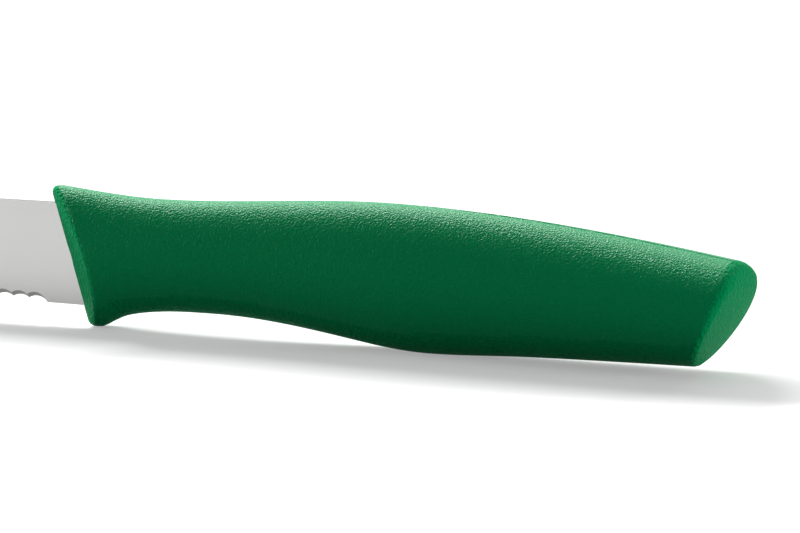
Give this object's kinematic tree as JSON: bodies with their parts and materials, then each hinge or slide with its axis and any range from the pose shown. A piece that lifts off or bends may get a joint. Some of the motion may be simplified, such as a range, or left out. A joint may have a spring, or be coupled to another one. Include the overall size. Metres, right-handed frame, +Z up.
{
  "type": "serrated paring knife",
  "caption": "Small kitchen knife: a pointed steel blade with a scalloped edge, its tang moulded into an oval green plastic handle with a finger guard.",
  "frame": {"origin": "middle of the knife's length and width, on the surface it stands on", "axes": "+X towards the butt of the handle, the tip along -X; +Z up, the spine on top and the cutting edge below; +Y to the knife's right when it is held by the handle with the edge down"},
  "size_m": [0.2099, 0.0178, 0.0217],
  "materials": {
    "blade_steel": "satin stainless steel, finely ground",
    "handle_plastic": "green polypropylene with a fine moulded grain"
  },
  "bodies": {
    "root": {"blade": "blade_steel", "handle": "handle_plastic"}
  },
  "joints": []
}
